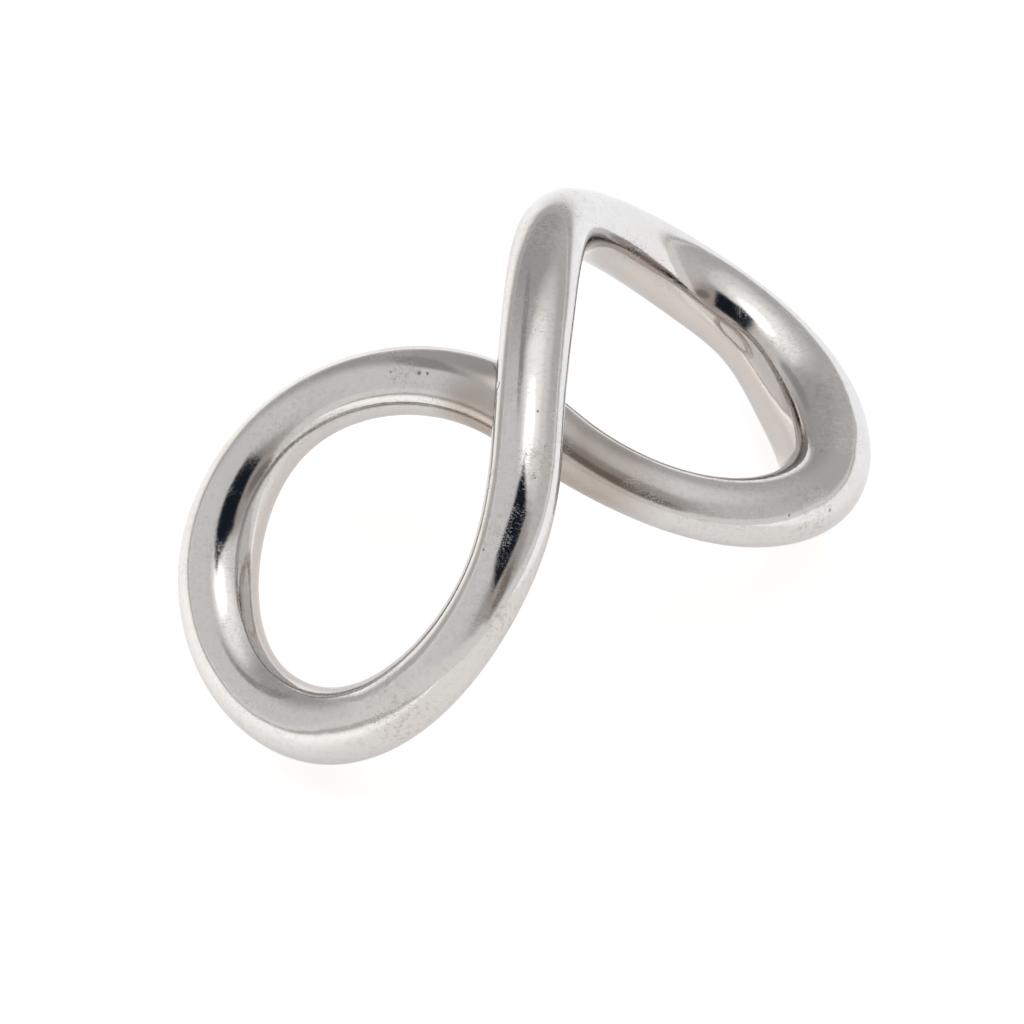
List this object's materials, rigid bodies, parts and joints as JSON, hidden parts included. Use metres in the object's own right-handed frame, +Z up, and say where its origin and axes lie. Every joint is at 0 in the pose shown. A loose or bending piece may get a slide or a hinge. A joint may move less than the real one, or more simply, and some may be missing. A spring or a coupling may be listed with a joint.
{
  "type": "figure-eight bar sculpture",
  "caption": "Free-standing tabletop ornament: a closed, polished round metal bar bent into a figure of eight, swelling at its ends and crossing itself with an open gap.",
  "frame": {"origin": "centre of the footprint, on the table top that the two feet stand on", "axes": "+X to the right, +Y away from the pictured front along the longest extent, +Z up along the shortest extent"},
  "size_m": [0.1028, 0.106, 0.0592],
  "materials": {
    "polished_bar": "hand polished to a mirror, with small casting pits and hairline scratches",
    "solder": "dressed flush and polished with the bar",
    "dowel_rod": "turned rod"
  },
  "bodies": {
    "root": {"right_loop_casting": "polished_bar", "left_loop_casting": "polished_bar", "front_solder_ring": "solder", "back_solder_ring": "solder", "front_dowel": "dowel_rod", "back_dowel": "dowel_rod"}
  },
  "joints": []
}
